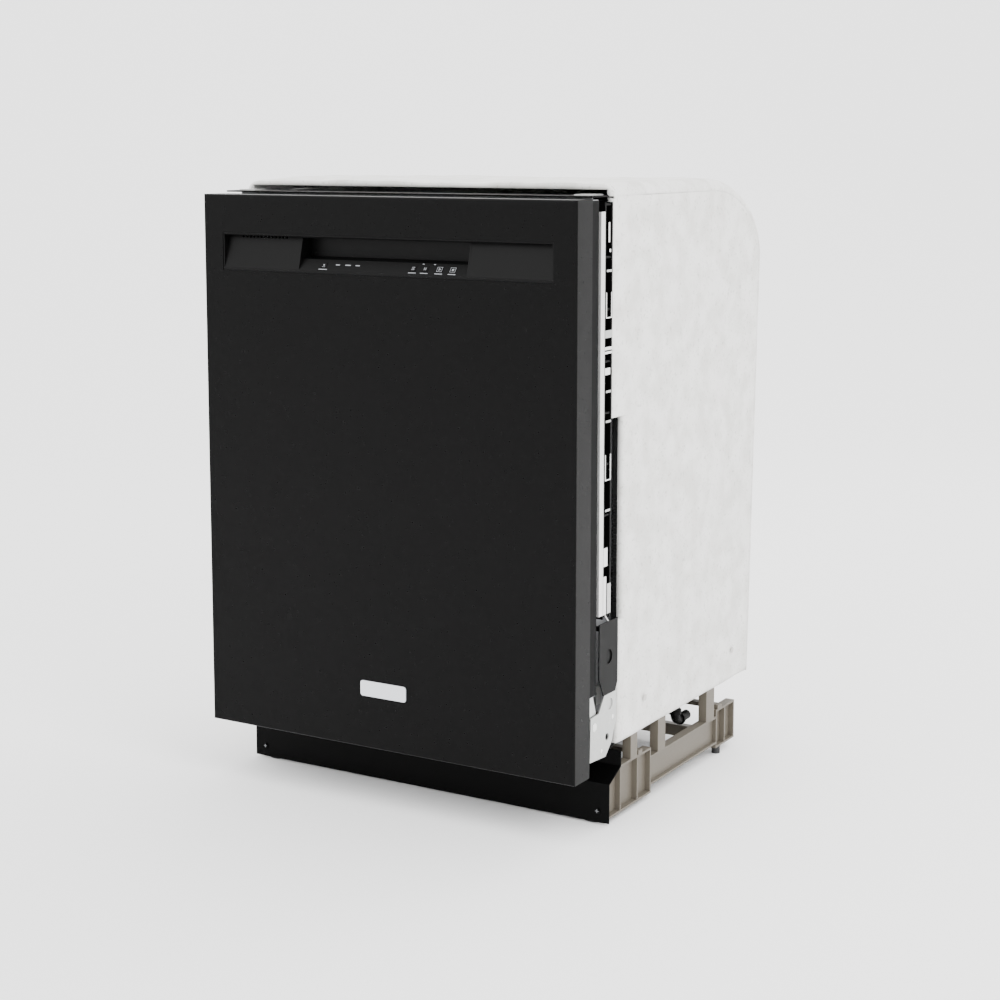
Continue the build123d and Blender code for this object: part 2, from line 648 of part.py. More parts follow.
slide_back = rail_back - 4.0
with BuildPart() as upper_slides:
    for side in (1, -1):
        block((side * (tub_inner - 6.0), side * (tub_inner - 2.2)), (rail_front + 2.0, slide_back),
              (rail_low_z + 2.2, rail_high_z - 2.2))
        block((side * (tub_inner - 13.0), side * (tub_inner - 6.0)), (rail_front + 2.0, slide_back),
              (rail_low_z + 4.5, rail_high_z - 4.5))
save(upper_slides.part, "upper_slides")

with BuildPart() as upper_rack:
    wire_basket(rack_half, rack_front, rack_back, upper_rack_floor, upper_rack_top, 9, 6)
    for side in (1, -1):
        block((side * (rack_half + wire_gap), side * (tub_inner - 14.0)), (rack_front + 20.0, rack_back - 60.0),
              (rail_low_z + 2.0, rail_high_z - 2.0))
    for x in spread(-rack_half + 26.0, rack_half - 26.0, 9)[5:8]:
        for y in spread(rack_front + 60.0, rack_back - 60.0, 6):
            rod((x, y, upper_rack_floor + wire + wire_gap), (x, y, upper_rack_floor + 48.0), 1.6)
save(upper_rack.part, "upper_rack")

pipe_z = upper_rack_floor - 20.0
upper_centre = (rack_front + rack_back) / 2
upper_arm_height = pipe_z - 9.0 - arm_thick
with BuildPart() as upper_feed_pipe:
    rod((0, upper_centre, pipe_z), (0, duct_back - 19.4, pipe_z), 8.0)
    rod((0, upper_centre, pipe_z - 8.5), (0, upper_centre, upper_rack_floor - 6.2 - wire_gap), 11.0)
    rod((0, upper_centre, upper_arm_height - 3.0), (0, upper_centre, pipe_z), 6.0)
    rod((0, upper_centre, upper_arm_height - 4.0), (0, upper_centre, upper_arm_height - 0.6), 12.0)
    block((-14.0, 14.0), (rack_back - 60.0, rack_back - 40.0), (pipe_z, upper_rack_floor - 6.2 - wire_gap))
save(upper_feed_pipe.part, "upper_feed_pipe")

with BuildPart() as upper_spray_arm:
    spray_arm(min(arm_reach, 205.0), upper_centre, upper_arm_height, 40.0, 6.0 + running_gap)
save(upper_spray_arm.part, "upper_spray_arm")

# ======================================================================= door

with BuildPart() as door_outer_panel:
    block((-half, half), (0, panel_return), (door_bottom, door_top))
    front_edges = door_outer_panel.faces().sort_by(Axis.Y)[0].edges()
    fillet(front_edges, 2.5)
    block((-half + panel_sheet, half - panel_sheet), (panel_sheet, panel_return - panel_sheet),
          (door_bottom + panel_sheet, door_top - panel_sheet), Mode.SUBTRACT)
    lip = 14.0
    block((-half + lip, half - lip), (panel_return - 2.0, panel_return + 1.0), (door_bottom + 6.0, door_top - 4.0),
          Mode.SUBTRACT)
    block((-half + panel_sheet, half - panel_sheet), (panel_return - 3.0, panel_return + 1.0),
          (door_bottom + 6.0, liner_step + 7.0), Mode.SUBTRACT)
    block((-console_half - 0.3, console_half + 0.3), (-1.0, 6.0), (console_low - 0.3, console_high + 0.3), Mode.SUBTRACT)
save(door_outer_panel.part, "door_outer_panel")

disp_low = liner_step + (door_top - liner_step) * 0.345
disp_high = disp_low + 96.0
disp_half = 78.0
with BuildPart() as door_liner:
    liner_top = door_top - 1.0
    block((-liner_half, liner_half), (liner_back - liner_wall, liner_back), (liner_step, liner_top))
    block((-liner_low_half, liner_low_half), (liner_back - liner_wall, liner_back), (door_bottom + 7.0, liner_step))
    pair(liner_half - liner_wall, liner_half, (panel_return, liner_back), (liner_step, liner_top))
    block((-liner_half, liner_half), (panel_return, liner_back), (liner_top - liner_wall, liner_top))
    pair(liner_low_half - liner_wall, liner_low_half, (panel_return + 2.0, liner_back), (door_bottom + 7.0, liner_step))
    block((-12.0, 12.0), (panel_return - 1.0, liner_back + 1.0), (tub_top + 5.5, liner_top + 1.0), Mode.SUBTRACT)
    block((-disp_half - 0.3, disp_half + 0.3), (liner_back - 4.0, liner_back + 1.0), (disp_low - 0.3, disp_high + 0.3),
          Mode.SUBTRACT)
save(door_liner.part, "door_liner")

arm_outline = [(46.0, 320.0), (46.0, 150.0), (50.0, 139.0), (60.0, 136.0), (112.0, 128.0), (117.0, 136.0),
               (112.0, 143.0), (72.0, 158.0), (60.5, 190.0), (60.5, 320.0)]
with BuildPart() as hinge_arms:
    for side in (1, -1):
        xs = sorted((side * (arm_x), side * (liner_half - liner_wall)))
        prism(arm_outline, xs[0], xs[1])
        rod((side * (arm_x - 1.0), pivot_back, pivot_height), (side * (liner_half), pivot_back, pivot_height),
            pin_radius + running_gap, Mode.SUBTRACT)
save(hinge_arms.part, "hinge_arms")

slope_low = (0.8, console_low + 4.0)
slope_high = (12.0, console_low + 19.0)
with BuildPart() as console:
    wing = [(0.8, console_low), (0.8, console_low + 4.0), (13.0, console_high), (17.0, console_high),
            (5.0, console_low + 3.0), (5.0, console_low)]
    centre = [(0.8, console_low), slope_low, slope_high, (33.0, console_low + 22.0), (33.0, console_high - 4.0),
              (11.8, console_high - 4.0), (12.6, console_high), (36.0, console_high), (36.0, console_low + 19.0),
              (13.8, console_low + 15.6), (4.2, console_low + 3.0), (4.2, console_low)]
    cap = [(0.8, console_low), (0.8, console_high), (20.0, console_high), (20.0, console_low)]
    cheek = [(1.0, console_low), (1.0, console_low + 4.4), (12.6, console_high), (36.0, console_high),
             (36.0, console_low + 15.0), (13.0, console_low)]
    prism(wing, -console_half, -pocket_half)
    prism(wing, pocket_half, console_half)
    prism(centre, -pocket_half, pocket_half)
    for side in (1, -1):
        xs = sorted((side * console_half, side * (console_half - 2.0)))
        prism(cap, xs[0], xs[1])
        xs = sorted((side * pocket_half, side * (pocket_half + 2.5)))
        prism(cheek, xs[0], xs[1])
    block((-console_half, console_half), (0.8, 17.0), (console_high - 1.5, console_high))
    for step in range(13):
        x = -console_half + 26.0 + step * 6.4
        block((x, x + 4.0), (8.0, 20.0), (console_high - 6.0, console_high - 3.2), Mode.SUBTRACT)
    run_back = slope_high[0] - slope_low[0]
    run_up = slope_high[1] - slope_low[1]
    slope_run = math.hypot(run_back, run_up)
    slope_out = (0, -run_up / slope_run, run_back / slope_run)
    mid = ((slope_low[0] + slope_high[0]) / 2, (slope_low[1] + slope_high[1]) / 2)
    button_xs = (-97.0, 50.0, 69.0, 92.0, 113.0)
    for x in button_xs:
        with Locations(Plane(origin=(x, behind(mid[0]), mid[1]), x_dir=(1, 0, 0), z_dir=slope_out)):
            Box(button_wide + 2 * button_gap, button_tall + 2 * button_gap, 12.0, mode=Mode.SUBTRACT)
save(console.part, "console")


def button(x):
    """Small cap that stands a little proud of the console's sloping face, with a flange behind it."""
    face = Plane(origin=(x, behind(mid[0]), mid[1]), x_dir=(1, 0, 0), z_dir=slope_out)
    with Locations(face):
        Box(button_wide, button_tall, 5.4, align=(Align.CENTER, Align.CENTER, Align.MAX))
        with Locations((0, 0, 0.25)):
            Box(button_wide, button_tall, 0.5)


button_names = ("cycle_button", "option_left_button", "option_right_button", "start_button", "cancel_button")
with BuildPart() as cycle_button:
    button(button_xs[0])
save(cycle_button.part, "cycle_button")

with BuildPart() as option_left_button:
    button(button_xs[1])
save(option_left_button.part, "option_left_button")

with BuildPart() as option_right_button:
    button(button_xs[2])
save(option_right_button.part, "option_right_button")

with BuildPart() as start_button:
    button(button_xs[3])
save(start_button.part, "start_button")

with BuildPart() as cancel_button:
    button(button_xs[4])
save(cancel_button.part, "cancel_button")

with BuildPart() as control_housing:
    block((-125.0, 125.0), (36.0, 58.0), (console_low + 4.0, console_high - 2.0))
save(control_housing.part, "control_housing")

badge_width = 76.0
badge_height = 22.0
with BuildPart() as badge:
    with BuildSketch(Plane.XZ.offset(-behind(0.0))):
        with Locations((0, door_bottom + 86.0)):
            RectangleRounded(badge_width, badge_height, 4.0)
    extrude(amount=badge_thick)
save(badge.part, "badge")

lid_x = (-8.0, 66.0)
lid_low = disp_low + 16.0
lid_high = lid_low + 50.0
lid_back = liner_back + 4.2
lid_pin = 1.5
lid_knuckle = 2.4
with BuildPart() as dispenser:
    block((-disp_half, disp_half), (46.0, liner_back), (disp_low, disp_high))
    block((-disp_half - 3.0, disp_half + 3.0), (liner_back, liner_back + 1.6), (disp_low - 3.0, disp_high + 3.0))
    block((lid_x[0] + 5.0, lid_x[1] - 5.0), (50.0, liner_back + 2.0), (lid_low + 5.0, lid_high - 5.0), Mode.SUBTRACT)
    for x in (lid_x[0] - 4.0, lid_x[1] + 0.6):
        block((x, x + 3.4), (liner_back + 1.6, liner_back + 7.4), (lid_low - 2.4, lid_low + 2.6))
    rod((lid_x[0] - 2.0, lid_back, lid_low), (lid_x[1] + 2.0, lid_back, lid_low), lid_pin)
save(dispenser.part, "dispenser")

with BuildPart() as dispenser_lid:
    block(lid_x, (lid_back - 1.2, lid_back + 1.0), (lid_low, lid_high))
    rod((lid_x[0], lid_back, lid_low), (lid_x[1], lid_back, lid_low), lid_knuckle)
    rod((lid_x[0] - 1.0, lid_back, lid_low), (lid_x[1] + 1.0, lid_back, lid_low), lid_pin + running_gap, Mode.SUBTRACT)
save(dispenser_lid.part, "dispenser_lid")

cap_x = -44.0
cap_z = (disp_low + disp_high) / 2
with BuildPart() as rinse_cap:
    rod((cap_x, liner_back + 1.8, cap_z), (cap_x, liner_back + 6.0, cap_z), 17.0)
    block((cap_x - 15.0, cap_x + 15.0), (liner_back + 6.0, liner_back + 9.0), (cap_z - 2.0, cap_z + 2.0))
save(rinse_cap.part, "rinse_cap")

vent_x = -150.0
vent_z = disp_high + 60.0
with BuildPart() as door_vent:
    rod((vent_x, liner_back, vent_z), (vent_x, liner_back + 4.0, vent_z), 34.0)
    for step in range(5):
        z = vent_z - 20.0 + 10.0 * step
        block((vent_x - 22.0, vent_x + 22.0), (liner_back + 1.5, liner_back + 5.0), (z - 2.0, z + 2.0), Mode.SUBTRACT)
save(door_vent.part, "door_vent")

pawl_back = 50.0
pawl_z = tub_top + 0.5
with BuildPart() as latch_body:
    block((-25.0, 25.0), (43.0, liner_back - liner_wall), (tub_top - 10.0, tub_top + 4.5))
    block((-6.0, 6.0), (44.0, liner_back - liner_wall + 1.0), (tub_top - 6.0, tub_top + 5.5), Mode.SUBTRACT)
    rod((-7.0, pawl_back, pawl_z), (7.0, pawl_back, pawl_z), 1.5)
save(latch_body.part, "latch_body")

with BuildPart() as latch_pawl:
    block((-5.0, 5.0), (pawl_back - 2.5, 59.0), (pawl_z - 1.0, pawl_z + 3.2))
    rod((-5.0, pawl_back, pawl_z), (5.0, pawl_back, pawl_z), 3.0)
    rod((-6.0, pawl_back, pawl_z), (6.0, pawl_back, pawl_z), 1.5 + running_gap, Mode.SUBTRACT)
save(latch_pawl.part, "latch_pawl")
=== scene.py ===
"""Built-in dishwasher: camera, light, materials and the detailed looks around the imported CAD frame.

Metres, +Z up, +X right seen from the front, -Y to the front. Distances behind the door's front face
are turned into Y with back().
"""
import math

import bpy
import numpy as np
from mathutils import Matrix, Vector


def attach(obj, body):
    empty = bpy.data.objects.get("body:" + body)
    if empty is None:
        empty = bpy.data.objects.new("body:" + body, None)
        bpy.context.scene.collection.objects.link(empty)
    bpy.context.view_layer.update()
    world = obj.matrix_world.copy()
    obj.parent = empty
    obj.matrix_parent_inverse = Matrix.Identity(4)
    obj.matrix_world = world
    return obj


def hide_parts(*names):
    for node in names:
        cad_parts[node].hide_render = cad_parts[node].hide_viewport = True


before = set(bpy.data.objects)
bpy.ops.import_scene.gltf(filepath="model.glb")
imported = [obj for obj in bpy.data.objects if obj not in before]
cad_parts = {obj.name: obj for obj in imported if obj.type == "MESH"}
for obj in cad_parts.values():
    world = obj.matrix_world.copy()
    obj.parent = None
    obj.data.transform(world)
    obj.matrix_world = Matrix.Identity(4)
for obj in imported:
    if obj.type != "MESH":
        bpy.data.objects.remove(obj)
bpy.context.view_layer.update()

def back(mm):
    """Y in metres of a point this many millimetres behind the door's front face."""
    return (mm + 1.2 - 303.0) / 1000.0


# ---------------------------------------------------------------- colour and node helpers
def linear(hex_colour):
    """Linear RGBA of an sRGB hex colour."""
    out = []
    for i in (1, 3, 5):
        c = int(hex_colour[i:i + 2], 16) / 255.0
        out.append(c / 12.92 if c <= 0.04045 else ((c + 0.055) / 1.055) ** 2.4)
    return (*out, 1.0)


def new_material(name, colour, rough, metal=0.0, coat=0.0, specular=0.5):
    """Material with one Principled shader; returns the material, its tree and the shader."""
    m = bpy.data.materials.new(name)
    m.use_nodes = True
    tree = m.node_tree
    shader = tree.nodes["Principled BSDF"]
    shader.inputs["Base Color"].default_value = linear(colour)
    shader.inputs["Roughness"].default_value = rough
    shader.inputs["Metallic"].default_value = metal
    shader.inputs["Coat Weight"].default_value = coat
    shader.inputs["Coat Roughness"].default_value = 0.12
    shader.inputs["Specular IOR Level"].default_value = specular
    return m, tree, shader


def add(tree, kind, links=(), **values):
    """Add one node, set its inputs or properties by name and link the given sockets into it."""
    node = tree.nodes.new(kind)
    for key, value in values.items():
        if hasattr(node, key):
            setattr(node, key, value)
        else:
            node.inputs[key.replace("_", " ").title()].default_value = value
    for socket, target in links:
        tree.links.new(socket, node.inputs[target])
    return node


def grain(tree, shader, scale, strength, distance, detail=4.0, stretch=(1, 1, 1), rough_range=None):
    """Fine noise in Object coordinates that drives a bump and, if asked, the roughness."""
    coords = add(tree, "ShaderNodeTexCoord")
    mapping = add(tree, "ShaderNodeMapping", [(coords.outputs["Object"], "Vector")])
    mapping.inputs["Scale"].default_value = stretch
    noise = add(tree, "ShaderNodeTexNoise", [(mapping.outputs[0], "Vector")])
    noise.inputs["Scale"].default_value = scale
    noise.inputs["Detail"].default_value = detail
    bump = add(tree, "ShaderNodeBump", [(noise.outputs[0], "Height")])
    bump.inputs["Strength"].default_value = strength
    bump.inputs["Distance"].default_value = distance
    tree.links.new(bump.outputs[0], shader.inputs["Normal"])
    if rough_range:
        ramp = add(tree, "ShaderNodeMapRange", [(noise.outputs[0], "Value")])
        ramp.inputs["From Min"].default_value = 0.3
        ramp.inputs["From Max"].default_value = 0.7
        ramp.inputs["To Min"].default_value = rough_range[0]
        ramp.inputs["To Max"].default_value = rough_range[1]
        tree.links.new(ramp.outputs[0], shader.inputs["Roughness"])
    return noise


def plain(name, colour, rough, metal=0.0, coat=0.0, specular=0.5, scale=900.0, strength=0.05,
          distance=0.0002, rough_range=None, stretch=(1, 1, 1)):
    """Material with a fine surface grain."""
    m, tree, shader = new_material(name, colour, rough, metal, coat, specular)
    grain(tree, shader, scale, strength, distance, stretch=stretch, rough_range=rough_range)
    return m


# gloss black enamel of the door's outer panel: smooth with a faint orange peel
MAT_PANEL = plain("gloss_black_enamel", "#030303", 0.34, coat=0.0, specular=0.075, scale=220.0, strength=0.03,
                  distance=0.0003, rough_range=(0.27, 0.34))
# satin black moulded plastic of the console
MAT_CONSOLE = plain("satin_console_plastic", "#060606", 0.42, specular=0.09, scale=2600.0, strength=0.08)
# matt black paint of the toe panel and top strip
MAT_BLACK_METAL = plain("black_painted_steel", "#030303", 0.5, specular=0.05, scale=1600.0, strength=0.05)
# satin black plastic of the side frames and hinge covers
MAT_BLACK = plain("black_polypropylene", "#040404", 0.42, specular=0.07, scale=1200.0, strength=0.08)
# bright stainless strip
MAT_STRIP = plain("stainless_strip", "#e9e9e7", 0.28, metal=0.85, scale=300.0, strength=0.03,
                  stretch=(1, 1, 0.02), rough_range=(0.2, 0.36))
# galvanised hinge steel with a soft mottle
MAT_ZINC = plain("galvanised_steel", "#bcbdbb", 0.36, metal=0.9, scale=120.0, strength=0.05,
                 rough_range=(0.26, 0.5))
# brushed stainless inside parts
MAT_STEEL = plain("brushed_stainless", "#c8c9c9", 0.3, metal=0.95, scale=420.0, strength=0.03,
                  stretch=(0.04, 1, 1), rough_range=(0.22, 0.4))
# warm grey glass-filled plastic of the base
MAT_BASE = plain("beige_base_plastic", "#5d574d", 0.5, specular=0.4, scale=700.0, strength=0.12,
                 rough_range=(0.44, 0.58))
# mid grey tub and liner plastic, washed smooth
MAT_TUB = plain("grey_tub_plastic", "#8b8c8e", 0.42, specular=0.45, scale=900.0, strength=0.06)
# light grey moulded small parts
MAT_LIGHT = plain("light_grey_plastic", "#a4a6a8", 0.4, scale=900.0, strength=0.06)
# nylon coated rack wire
MAT_WIRE = plain("nylon_coated_wire", "#a2a5a8", 0.3, coat=0.2, scale=1500.0, strength=0.04)
# dark plastic of pumps, feet and housings
MAT_DARK = plain("dark_pump_plastic", "#151516", 0.5, scale=900.0, strength=0.08)
# black rubber of hose and gasket
MAT_RUBBER = plain("black_rubber", "#141414", 0.45, specular=0.4, scale=1500.0, strength=0.08)
# frosted clip
MAT_CLIP = plain("clear_clip_plastic", "#bdbbb6", 0.35, scale=900.0, strength=0.04)
# white tie
MAT_WHITE = plain("white_nylon", "#e8e8e6", 0.4, scale=1200.0, strength=0.04)
# satin silver plate low on the door, left blank
MAT_BADGE = plain("satin_silver_plate", "#d4d6da", 0.3, metal=0.75, scale=500.0, strength=0.03,
                  stretch=(0.05, 1, 1))
# dark printed mark
MAT_MARK = plain("grey_print", "#85878a", 0.5, scale=900.0, strength=0.02)

# off-white needled felt: short fibre bump, soft mottle and a few grey flecks
MAT_FELT, tree, shader = new_material("needled_felt", "#b2afaa", 0.95, specular=0.12)
shader.inputs["Sheen Weight"].default_value = 0.35
shader.inputs["Sheen Roughness"].default_value = 0.6
coords = add(tree, "ShaderNodeTexCoord")
flecks = add(tree, "ShaderNodeTexNoise", [(coords.outputs["Object"], "Vector")])
flecks.inputs["Scale"].default_value = 190.0
flecks.inputs["Detail"].default_value = 6.0
cloud = add(tree, "ShaderNodeTexNoise", [(coords.outputs["Object"], "Vector")])
cloud.inputs["Scale"].default_value = 26.0
cloud.inputs["Detail"].default_value = 8.0
fleck_ramp = add(tree, "ShaderNodeValToRGB", [(flecks.outputs[0], "Fac")])
fleck_ramp.color_ramp.elements[0].position = 0.3
fleck_ramp.color_ramp.elements[0].color = linear("#c9c8c4")
fleck_ramp.color_ramp.elements[1].position = 0.42
fleck_ramp.color_ramp.elements[1].color = linear("#e6e5e2")
cloud_ramp = add(tree, "ShaderNodeValToRGB", [(cloud.outputs[0], "Fac")])
cloud_ramp.color_ramp.elements[0].position = 0.38
cloud_ramp.color_ramp.elements[0].color = linear("#dddcd8")
cloud_ramp.color_ramp.elements[1].position = 0.6
cloud_ramp.color_ramp.elements[1].color = linear("#ffffff")
mix = add(tree, "ShaderNodeMix", data_type="RGBA", blend_type="MULTIPLY")
mix.inputs[0].default_value = 0.6
tree.links.new(fleck_ramp.outputs[0], mix.inputs[6])
tree.links.new(cloud_ramp.outputs[0], mix.inputs[7])
tree.links.new(mix.outputs[2], shader.inputs["Base Color"])
bump = add(tree, "ShaderNodeBump", [(flecks.outputs[0], "Height")])
bump.inputs["Strength"].default_value = 0.5
bump.inputs["Distance"].default_value = 0.0008
tree.links.new(bump.outputs[0], shader.inputs["Normal"])

NODE_MATERIALS = {
    MAT_TUB: ["tub", "door_liner"],
    MAT_RUBBER: ["tub_gasket", "drain_hose"],
    MAT_STRIP: ["face_strips"],
    MAT_BLACK: ["side_frames", "hinge_covers", "drain_elbow"],
    MAT_BLACK_METAL: ["top_trim_strip", "toe_panel", "toe_screws"],
    MAT_ZINC: ["counter_brackets", "latch_strike", "hinge_plates", "hinge_arms", "junction_box", "latch_pawl",
               "door_springs"],
    MAT_FELT: ["insulation_blanket"],
    MAT_CLIP: ["blanket_clips"],
    MAT_BASE: ["base_frame", "base_supports"],
    MAT_DARK: ["rear_feet", "right_front_leg", "left_front_leg", "sump", "wash_pump", "drain_pump",
               "control_housing", "rinse_cap", "latch_body"],
    MAT_STEEL: ["filter_plate", "heating_element", "upper_rails", "upper_slides"],
    MAT_LIGHT: ["filter_cup", "lower_spray_arm", "feed_tube", "pump_impeller", "inlet_valve",
                "overfill_float", "wheel_brackets", "front_wheels", "rear_wheels",
                "silverware_basket", "upper_feed_pipe",
                "upper_spray_arm", "dispenser", "dispenser_lid", "door_vent"],
    MAT_WIRE: ["lower_rack", "upper_rack"],
    MAT_PANEL: ["door_outer_panel"],
    MAT_CONSOLE: ["console", "cycle_button", "option_left_button", "option_right_button", "start_button",
                  "cancel_button"],
    MAT_BADGE: ["badge"],
}
for material, names in NODE_MATERIALS.items():
    for name in names:
        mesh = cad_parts[name].data
        mesh.materials.clear()
        mesh.materials.append(material)

# crisp nodes whose edges catch a thin highlight
BEVELLED = ("door_outer_panel", "console", "toe_panel", "base_supports", "base_frame", "side_frames",
            "hinge_plates", "hinge_covers")
for name in BEVELLED:
    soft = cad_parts[name].modifiers.new("edge", "BEVEL")
    soft.width = 0.0005
    soft.segments = 2
    soft.limit_method = "ANGLE"
    soft.angle_limit = math.radians(40)


# ---------------------------------------------------------------- mesh helpers
def mesh_piece(name, points, faces, material, smooth=True):
    """Object from an array of points and a list of faces."""
    mesh = bpy.data.meshes.new(name)
    mesh.from_pydata(np.asarray(points, float).tolist(), [], [tuple(int(i) for i in f) for f in faces])
    mesh.validate()
    mesh.update()
    mesh.polygons.foreach_set("use_smooth", [smooth] * len(mesh.polygons))
    mesh.materials.append(material)
    piece = bpy.data.objects.new(name, mesh)
    bpy.context.collection.objects.link(piece)
    return piece


def grid_faces(rows, cols, wrap_cols=False, offset=0):
    """Quads of a rows by cols grid of points, closed round the columns if asked."""
    last = cols if wrap_cols else cols - 1
    r, c = np.meshgrid(np.arange(rows - 1), np.arange(last), indexing="ij")
    a = r * cols + c
    b = r * cols + (c + 1) % cols
    return np.stack([a, b, b + cols, a + cols], -1).reshape(-1, 4) + offset


def tube(path, radii, sides=20):
    """Round tube: a circle of the given radius is carried along the path in frames that do not twist,
    and both ends are closed by fans. Returns points and faces."""
    path = np.asarray(path, float)
    radii = np.broadcast_to(np.asarray(radii, float), (len(path),))
    tangent = np.gradient(path, axis=0)
    tangent /= np.linalg.norm(tangent, axis=1)[:, None]
    side = np.zeros_like(path)
    first = np.cross(tangent[0], (0.0, 0.0, 1.0) if abs(tangent[0][2]) < 0.9 else (1.0, 0.0, 0.0))
    side[0] = first / np.linalg.norm(first)
    for i in range(1, len(path)):
        s = side[i - 1] - tangent[i] * np.dot(side[i - 1], tangent[i])
        side[i] = s / np.linalg.norm(s)
    other = np.cross(tangent, side)
    angle = np.linspace(0, 2 * np.pi, sides, endpoint=False)
    ring = np.cos(angle)[None, :, None] * side[:, None, :] + np.sin(angle)[None, :, None] * other[:, None, :]
    points = (path[:, None, :] + ring * radii[:, None, None]).reshape(-1, 3)
    faces = [tuple(f) for f in grid_faces(len(path), sides, True)]
    start, end = len(points), len(points) + 1
    points = np.vstack([points, path[0], path[-1]])
    base = (len(path) - 1) * sides
    for i in range(sides):
        j = (i + 1) % sides
        faces.append((start, j, i))
        faces.append((end, base + i, base + j))
    return points, faces


def joined(parts):
    """One set of points and faces from several."""
    points, faces, count = [], [], 0
    for p, f in parts:
        points.append(np.asarray(p, float))
        faces.extend([tuple(int(i) + count for i in face) for face in f])
        count += len(p)
    return np.vstack(points), faces


def slab(low, high):
    """Box between two corners as points and faces."""
    x0, y0, z0 = low
    x1, y1, z1 = high
    corners = [(x0, y0), (x1, y0), (x1, y1), (x0, y1)]
    p = [(x, y, z) for z in (z0, z1) for x, y in corners]
    f = [(0, 3, 2, 1), (4, 5, 6, 7), (0, 1, 5, 4), (1, 2, 6, 5), (2, 3, 7, 6), (3, 0, 4, 7)]
    return p, f


def rounded(points, radius, steps=6):
    """Polyline with each inner corner replaced by an arc-like curve of the given radius."""
    points = [np.asarray(p, float) for p in points]
    out = [points[0]]
    for a, b, c in zip(points[:-2], points[1:-1], points[2:]):
        ra, rc = a - b, c - b
        la, lc = np.linalg.norm(ra), np.linalg.norm(rc)
        cut = min(radius, 0.49 * la, 0.49 * lc)
        p, q = b + ra / la * cut, b + rc / lc * cut
        for t in np.linspace(0, 1, steps):
            out.append((1 - t) ** 2 * p + 2 * t * (1 - t) * b + t ** 2 * q)
    out.append(points[-1])
    return np.array(out)


def wires(name, runs, radius, material, body, nodes=()):
    """Bent round wires as one piece that rides on a body."""
    piece = mesh_piece(name, *joined([tube(run, radius, 10) for run in runs]), material)
    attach(piece, body)
    if nodes:
        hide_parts(*nodes)
    return piece


# ---------------------------------------------------------------- soft felt blanket
def side_front(height):
    """Distance of the blanket's front hem behind the door's face at a height on the right side."""
    if height < 0.228:
        return 127.0
    if height < 0.284:
        return 127.0
    if height < 0.564:
        return 137.0
    return 102.0


FELT_TOP, FELT_BEND, FELT_SLOPE, FELT_DROP = 0.879, 0.7565, 190.0, 122.0


def felt_bend(angle, inset=0.0):
    """Point (distance behind in mm, height in m) and normal on the quarter ellipse that joins the top and
    the rear: centre (604.8 - slope, bend), half axes slope and drop, moved inward by inset millimetres."""
    normal = np.array([FELT_DROP * math.sin(angle), FELT_SLOPE * math.cos(angle)])
    normal /= np.linalg.norm(normal)
    r = 604.8 - FELT_SLOPE + FELT_SLOPE * math.sin(angle) - inset * normal[0]
    z = FELT_BEND + (FELT_DROP * math.cos(angle) - inset * normal[1]) / 1000
    return r, z, normal[0], normal[1]


FELT_REAR = np.array([felt_bend(a, 20.0)[:2] for a in np.linspace(np.pi / 2, 0, 200)])


def hem_loop(rows, cols):
    """Indices round the rim of a grid, in order, from the first row's start."""
    loop = list(range(cols))
    loop += [i * cols + cols - 1 for i in range(1, rows)]
    loop += [(rows - 1) * cols + j for j in range(cols - 2, -1, -1)]
    return loop + [i * cols for i in range(rows - 2, 0, -1)]


